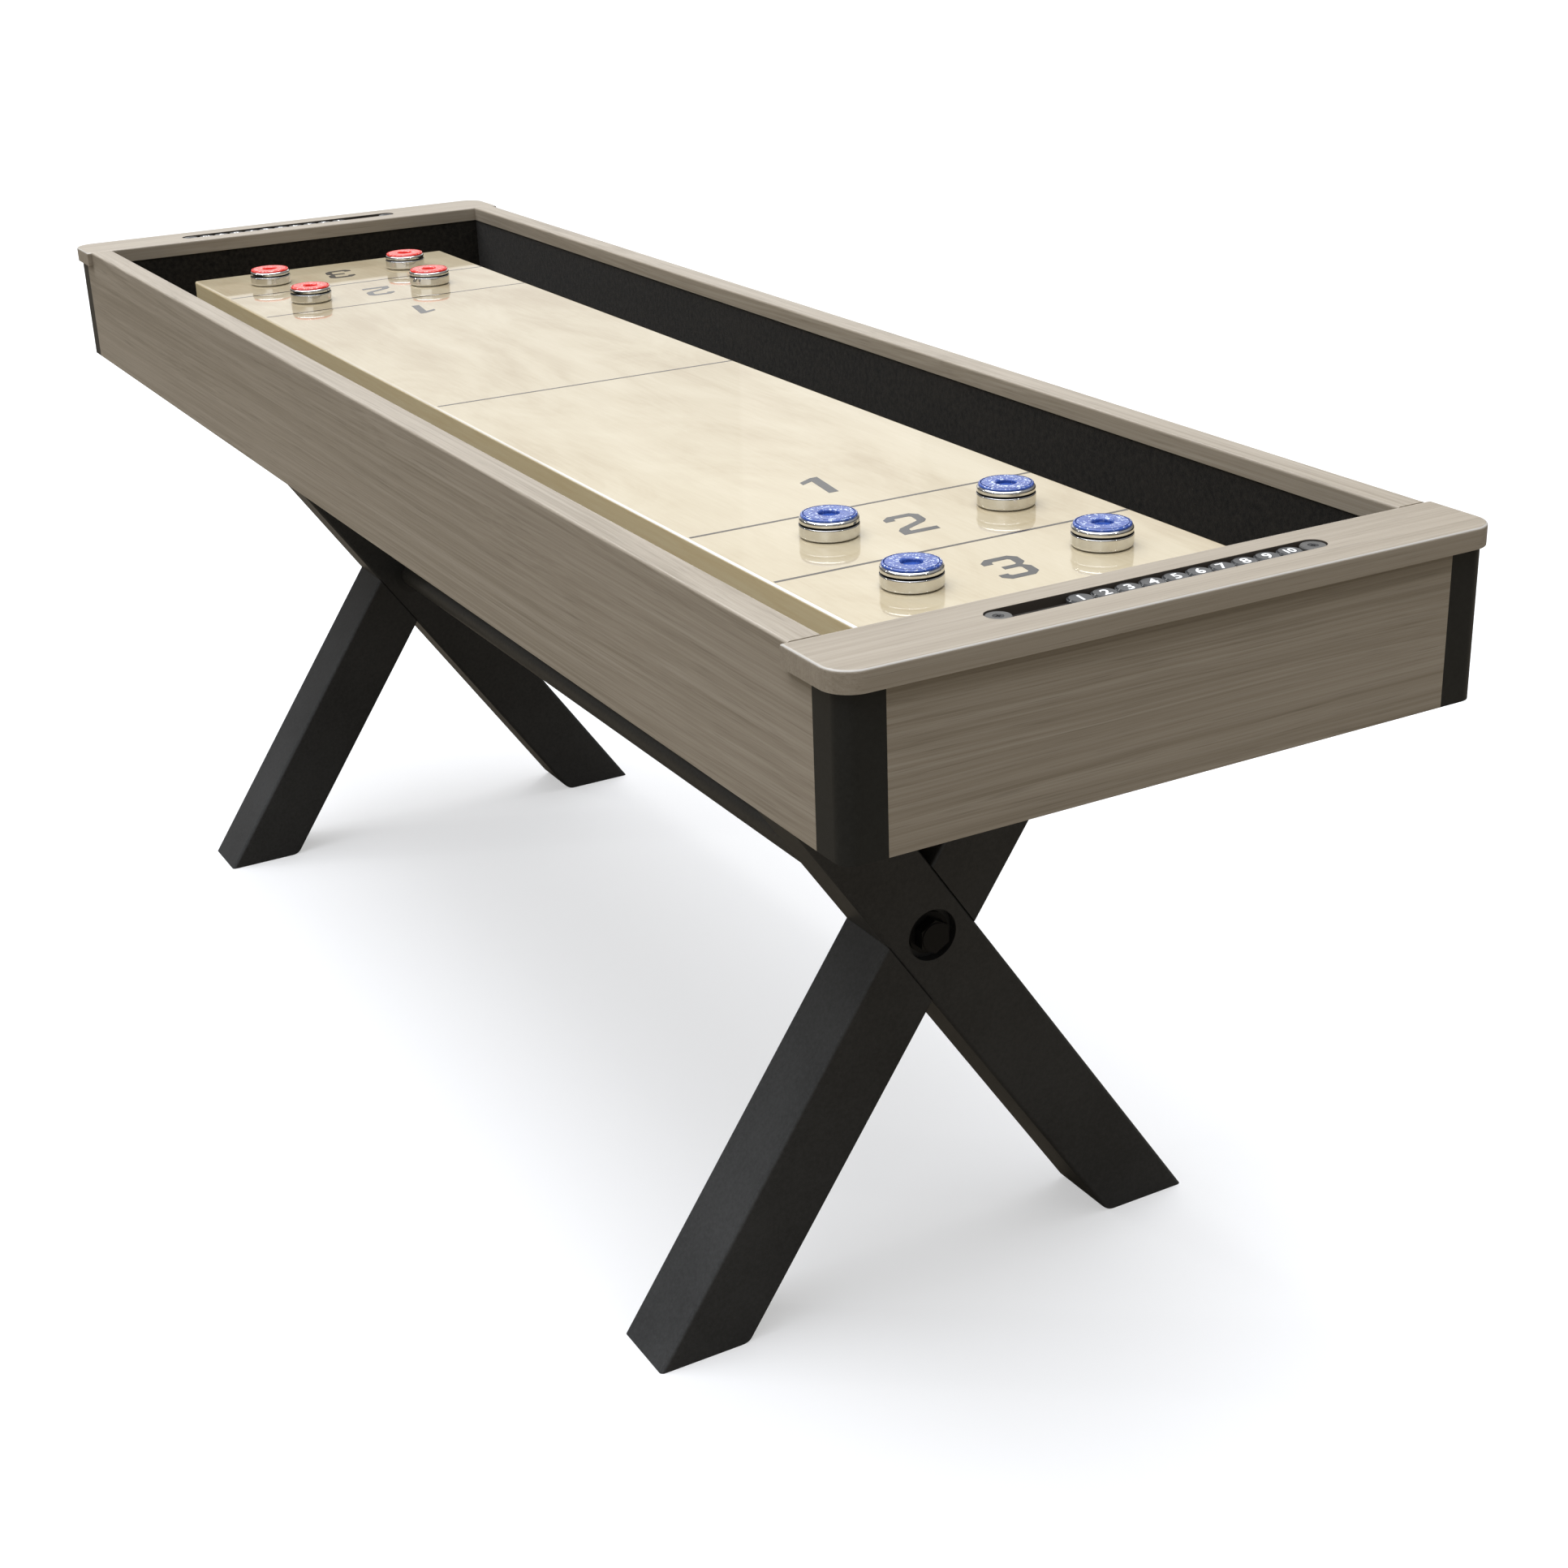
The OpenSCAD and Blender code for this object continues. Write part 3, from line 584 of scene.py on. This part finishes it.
def number_mesh(digits):
    """A thin solid number, lying flat about its own middle."""
    curve = bpy.data.curves.new("number", "FONT")
    curve.body = digits
    curve.size = NUMBER_SIZE[len(digits)]
    curve.space_character = NUMBER_SPACING[len(digits)]
    curve.align_x, curve.align_y = "CENTER", "CENTER"
    curve.extrude = INK_T / 2
    curve.offset = NUMBER_SWELL
    curve.shear = NUMBER_SHEAR
    curve.resolution_u = 3
    text = bpy.data.objects.new("number", curve)
    bpy.context.scene.collection.objects.link(text)
    bpy.context.view_layer.update()
    shown = text.evaluated_get(bpy.context.evaluated_depsgraph_get())
    data = bpy.data.meshes.new_from_object(shown)
    bpy.data.objects.remove(text)
    bpy.data.curves.remove(curve)
    points = [v.co for v in data.vertices]
    centre = (Vector(map(min, *points)) + Vector(map(max, *points))) / 2
    data.transform(Matrix.Translation(-centre))
    return data


def slider_marks():
    """A white number on every slider."""
    for end, word in ((1, "near"), (-1, "far")):
        for label in SLIDERS:
            low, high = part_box("slider_%s_%s" % (word, label))
            data = number_mesh(str(int(label)))
            middle = ((low.x + high.x) / 2, (low.y + high.y) / 2, high.z + INK_T / 2)
            data.transform(Matrix.Translation(middle) @ facing(end))
            data.materials.clear()
            data.materials.append(INK_WHITE)
            piece = bpy.data.objects.new("number_%s_%s" % (word, label), data)
            bpy.context.scene.collection.objects.link(piece)
            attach(piece, "slider_%s_%s" % (word, label))


zone_marks()
slider_marks()


# ---------------------------------------------------------------- floor, light, camera

FLOOR_HALF = 40.0
FLOOR_GREY = (0.52, 0.52, 0.52)
FLOOR_GLOW = 0.45
BOUNCE_BROWN = (0.165, 0.140, 0.105)
BOUNCE_Z = -0.002

SKY_LOW, SKY_HIGH = (0.20, 0.19, 0.175, 1.0), (1.0, 1.0, 1.0, 1.0)
SKY_STRENGTH = 0.42
BACKGROUND_STRENGTH = 1.05

SUN_STRENGTH = 4.05
SUN_WIDTH = math.radians(76)
SUN_COLOUR = (0.955, 0.985, 1.055)
SUN_WAY = Vector((0.10, 0.13, -1.0))

BOARD_MIDDLE = (0, 0, 0.77)
LAMP_SIZE = (0.2, 0.2)
LAMPS = (((3.6, -2.6, 3.0), 4.0), ((3.2, 1.2, 3.2), 4.0), ((0.4, -3.2, 3.0), 5.0),
         ((-2.6, -2.8, 3.0), 12.0), ((-2.8, 0.4, 3.6), 26.0))

LENS, SENSOR_W = 53.50, 36.0
AZIMUTH, ELEVATION, ROLL = 61.438, 22.917, -2.108
TARGET = Vector((0.4206, 0.0, 0.4271))
DISTANCE = 2.3935


def aimed(name, data, way):
    """A lamp object that shines along a direction."""
    lamp = bpy.data.objects.new(name, data)
    lamp.rotation_mode = "QUATERNION"
    lamp.rotation_quaternion = way.to_track_quat("-Z", "Y")
    bpy.context.scene.collection.objects.link(lamp)
    return lamp


def area_light(name, place, aim, size, power, colour=(1, 1, 1), lit=True, mirrored=True):
    """A soft rectangular lamp. lit=False makes it a card seen only in reflections, and
    mirrored=False the reverse."""
    data = bpy.data.lights.new(name, "AREA")
    data.shape = "RECTANGLE"
    data.size, data.size_y = size
    data.energy = power
    data.color = colour
    lamp = aimed(name, data, Vector(aim) - Vector(place))
    lamp.location = place
    lamp.visible_diffuse = lit
    lamp.visible_glossy = mirrored


def ground(name, colour, z, glow=0.0):
    """A floor plane that hides nothing from below, so that the underside can be looked at."""
    g = Graph(name)
    g.set(Base_Color=colour, Roughness=0.9, Specular_IOR_Level=0.1,
          Emission_Color=(1.0, 1.0, 1.0), Emission_Strength=glow)
    clear = g.add("ShaderNodeBsdfTransparent")
    either = g.add("ShaderNodeMixShader")
    g.link(g.add("ShaderNodeNewGeometry").outputs["Backfacing"], either.inputs[0])
    g.link(g.bsdf.outputs[0], either.inputs[1])
    g.link(clear.outputs[0], either.inputs[2])
    g.link(either.outputs[0], g.out.inputs["Surface"])
    mesh = bpy.data.meshes.new(name)
    corners = [(-1, -1), (1, -1), (1, 1), (-1, 1)]
    mesh.from_pydata([(x * FLOOR_HALF, y * FLOOR_HALF, z) for x, y in corners], [],
                     [(0, 1, 2, 3)])
    mesh.materials.append(g.material)
    plane = bpy.data.objects.new(name, mesh)
    bpy.context.scene.collection.objects.link(plane)
    return plane


def sky():
    """Grey near the horizon and white overhead for the light, plain pale for the camera."""
    world = bpy.data.worlds.new("studio")
    bpy.context.scene.world = world
    world.use_nodes = True
    nodes, links = world.node_tree.nodes, world.node_tree.links
    split = nodes.new("ShaderNodeSeparateXYZ")
    links.new(nodes.new("ShaderNodeTexCoord").outputs["Generated"], split.inputs[0])
    shade = nodes.new("ShaderNodeValToRGB")
    links.new(split.outputs[2], shade.inputs[0])
    horizon, overhead = shade.color_ramp.elements
    horizon.position, horizon.color = 0.02, SKY_LOW
    overhead.position, overhead.color = 0.75, SKY_HIGH
    dim = nodes["Background"]
    links.new(shade.outputs["Color"], dim.inputs["Color"])
    dim.inputs["Strength"].default_value = SKY_STRENGTH
    pale = nodes.new("ShaderNodeBackground")
    pale.inputs["Color"].default_value = (1.0, 1.0, 1.0, 1.0)
    pale.inputs["Strength"].default_value = BACKGROUND_STRENGTH
    either = nodes.new("ShaderNodeMixShader")
    links.new(nodes.new("ShaderNodeLightPath").outputs["Is Camera Ray"], either.inputs[0])
    links.new(dim.outputs[0], either.inputs[1])
    links.new(pale.outputs[0], either.inputs[2])
    links.new(either.outputs[0], nodes["World Output"].inputs[0])


def studio():
    # what the camera sees is pale; what lights the underside is a darker plane just below it
    floor = ground("floor", FLOOR_GREY, 0.0, FLOOR_GLOW)
    floor.visible_diffuse = False
    floor.visible_glossy = False
    bounce = ground("floor_bounce", BOUNCE_BROWN, BOUNCE_Z)
    bounce.visible_camera = False
    sky()

    sun = bpy.data.lights.new("sky_panel", "SUN")
    sun.energy = SUN_STRENGTH
    sun.angle = SUN_WIDTH
    sun.color = SUN_COLOUR
    aimed("sky_panel", sun, SUN_WAY)
    area_light("far_wall", (-5.0, 2.3, 2.1), BOARD_MIDDLE, (5.2, 2.6), 27.0)
    area_light("far_window", (-4.3, 2.8, 1.9), BOARD_MIDDLE, (0.6, 2.4), 0.5)
    area_light("left_fill", (-1.0, -8.0, 1.5), (0, 0, 0.6), (7.0, 2.2), 3.0,
               (1.0, 0.92, 0.78), mirrored=False)
    area_light("back_fill", (-6.5, 6.0, 1.0), (0, 0, 0.6), (5.0, 1.2), 40.0, (1.0, 0.97, 0.91))
    area_light("front_fill", (8.0, -1.0, 1.2), (0, 0, 0.5), (4.5, 2.4), 18.0,
               (1.0, 0.96, 0.87), mirrored=False)
    area_light("front_card", (6.0, -6.5, 1.7), (0.4, 0, 0.77), (11.0, 3.2), 60.0, lit=False)
    for n, (place, power) in enumerate(LAMPS):
        area_light("ceiling_lamp_%d" % n, place, (place[0] * 0.25, 0, 0.77), LAMP_SIZE, power)


def camera():
    data = bpy.data.cameras.new("camera")
    data.lens, data.sensor_width = LENS, SENSOR_W
    data.clip_start, data.clip_end = 0.05, 200.0
    azimuth, elevation, roll = (math.radians(v) for v in (AZIMUTH, ELEVATION, ROLL))
    back = Vector((math.sin(azimuth) * math.cos(elevation),
                   -math.cos(azimuth) * math.cos(elevation),
                   math.sin(elevation)))
    right = (-back).cross(Vector((0, 0, 1))).normalized()
    up = right.cross(-back)
    axis_x = right * math.cos(roll) + up * math.sin(roll)
    axis_y = up * math.cos(roll) - right * math.sin(roll)
    turn = Matrix((axis_x, axis_y, back)).transposed().to_4x4()
    cam = bpy.data.objects.new("camera", data)
    cam.matrix_world = Matrix.Translation(TARGET + back * DISTANCE) @ turn
    bpy.context.scene.collection.objects.link(cam)
    bpy.context.scene.camera = cam


studio()
camera()
bpy.context.scene.view_settings.view_transform = "Standard"
